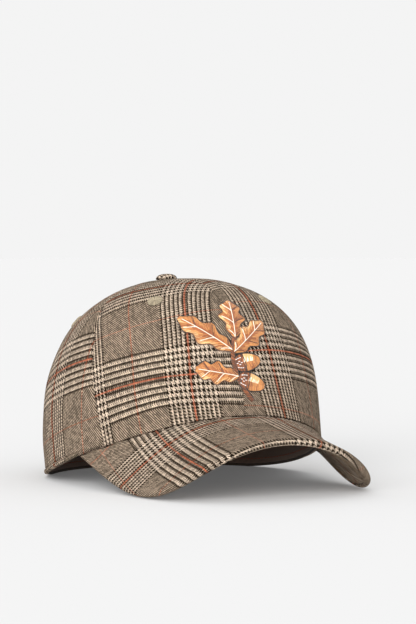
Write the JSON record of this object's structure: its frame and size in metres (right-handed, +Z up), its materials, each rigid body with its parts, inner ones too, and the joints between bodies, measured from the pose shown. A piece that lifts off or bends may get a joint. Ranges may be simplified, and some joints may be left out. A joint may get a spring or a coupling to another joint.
{
  "type": "six-panel peaked cap",
  "caption": "Peaked cap in brown glen check cloth: a domed crown of sewn panels with stitched eyelets, a covered button, a curved peak and an embroidered leaf sprig.",
  "frame": {"origin": "on the floor under the middle of the cap's outer box, as the cap rests on its back hem and the lobes of its peak", "axes": "+Z up, the wearer faces -Y, +X to the wearer's left"},
  "size_m": [0.181, 0.2602, 0.1343],
  "materials": {
    "check_cloth": "matt woollen twill in brown and cream glen check with a rust overcheck",
    "band_cloth": "dark brown ribbed tape",
    "eyelet_thread": "khaki satin-stitched thread",
    "sprig_thread": "tan, rust, cream and near-black satin-stitched thread"
  },
  "bodies": {
    "root": {"front_panel_right": "check_cloth", "front_panel_left": "check_cloth", "side_panel_right": "check_cloth", "side_panel_left": "check_cloth", "back_panel_right": "check_cloth", "back_panel_left": "check_cloth", "eyelet_front_right": "eyelet_thread", "eyelet_front_left": "eyelet_thread", "eyelet_side_right": "eyelet_thread", "eyelet_side_left": "eyelet_thread", "eyelet_back_right": "eyelet_thread", "eyelet_back_left": "eyelet_thread", "top_button": "check_cloth", "sweatband": "band_cloth", "peak_top": "check_cloth", "peak_underside": "check_cloth", "front_embroidery": "sprig_thread"}
  },
  "joints": []
}
